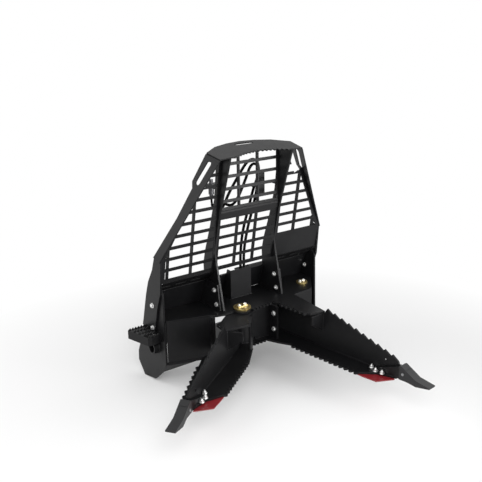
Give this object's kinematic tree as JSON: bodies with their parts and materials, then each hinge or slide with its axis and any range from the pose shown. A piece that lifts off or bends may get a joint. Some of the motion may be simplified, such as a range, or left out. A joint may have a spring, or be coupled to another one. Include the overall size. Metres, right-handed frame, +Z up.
{
  "type": "skid steer tree puller",
  "caption": "Loader-mounted tree puller: a slatted guard over a plated frame, one fixed toothed jaw and one toothed jaw swung on a vertical pin by a hydraulic cylinder.",
  "frame": {"origin": "middle of the footprint of the whole part, on the ground under it, with the jaw open as pictured", "axes": "+X to the right seen from the front and across the loader, -Y forwards along the fixed jaw, +Z up"},
  "size_m": [1.593, 1.5604, 1.4028],
  "materials": {
    "black_paint": "satin powder coat",
    "red_paint": "satin red paint",
    "cast_tip": "painted casting",
    "zinc": "zinc plated",
    "yellow_zinc": "yellow zinc plated steel",
    "pin_steel": "ground steel",
    "bronze": "bearing bronze",
    "hose_rubber": "hose cover",
    "coupler_steel": "dark plated steel",
    "chrome_rod": "hard chrome"
  },
  "bodies": {
    "frame": {"side_plate_left": "black_paint", "side_plate_right": "black_paint", "mount_plate_left": "black_paint", "mount_plate_right": "black_paint", "mount_plate_centre": "black_paint", "top_plate": "black_paint", "bottom_plate": "black_paint", "box_front_left": "black_paint", "box_front_right": "black_paint", "upright_left": "black_paint", "upright_right": "black_paint", "hose_channel": "black_paint", "throat_plate": "black_paint", "root_plate": "black_paint", "root_bolts": "zinc", "fixed_jaw_wall": "black_paint", "fixed_jaw_gusset": "black_paint", "fixed_jaw_shank": "black_paint", "fixed_jaw_tooth": "cast_tip", "fixed_jaw_tooth_pin": "pin_steel", "fixed_jaw_blade": "red_paint", "fixed_jaw_blade_bolts": "zinc", "pivot_pin": "pin_steel", "pivot_cap": "yellow_zinc", "cylinder_base_pin": "yellow_zinc", "screen_left": "black_paint", "screen_right": "black_paint", "screen_centre": "black_paint", "screen_upper": "black_paint", "mid_rail": "black_paint", "flange_left": "black_paint", "flange_right": "black_paint", "rib_left": "black_paint", "rib_right": "black_paint", "guard_cap": "black_paint", "guard_bolts": "zinc", "step": "black_paint", "hose_guide": "black_paint", "coupler_a": "coupler_steel", "coupler_b": "coupler_steel", "coupler_holder": "black_paint", "hose_a": "hose_rubber", "hose_b": "hose_rubber"},
    "moving_jaw": {"moving_jaw_top_plate": "black_paint", "moving_jaw_bottom_plate": "black_paint", "moving_jaw_wall": "black_paint", "moving_jaw_gusset": "black_paint", "moving_jaw_web": "black_paint", "moving_jaw_hub": "black_paint", "moving_jaw_bushes": "bronze", "moving_jaw_shank": "black_paint", "moving_jaw_tooth": "cast_tip", "moving_jaw_tooth_pin": "pin_steel", "moving_jaw_blade": "red_paint", "moving_jaw_blade_bolts": "zinc", "rod_pin": "pin_steel"},
    "cylinder_barrel": {"barrel": "black_paint", "gland": "black_paint"},
    "cylinder_rod": {"piston_rod": "chrome_rod", "piston": "pin_steel"}
  },
  "joints": [
    {"name": "jaw_hinge", "type": "hinge", "parent": "frame", "child": "moving_jaw", "pos_m": [0.09338, 0.33919, 0.32], "axis": [0, 0, 1], "range_deg": [0, 56]},
    {"name": "cylinder_base_hinge", "type": "hinge", "parent": "frame", "child": "cylinder_barrel", "pos_m": [0.64538, 0.44219, 0.32], "axis": [0, 0, 1], "range_deg": [0, 2.46]},
    {"name": "rod_slide", "type": "slide", "parent": "cylinder_barrel", "child": "cylinder_rod", "axis": [-0.9998, 0.0189, 0], "range_m": [0, 0.1004]}
  ],
  "couplings": [
    {"joint": "cylinder_base_hinge", "follows": "jaw_hinge", "ratio": 0.043852},
    {"joint": "rod_slide", "follows": "jaw_hinge", "m_per_rad": 0.10262}
  ]
}
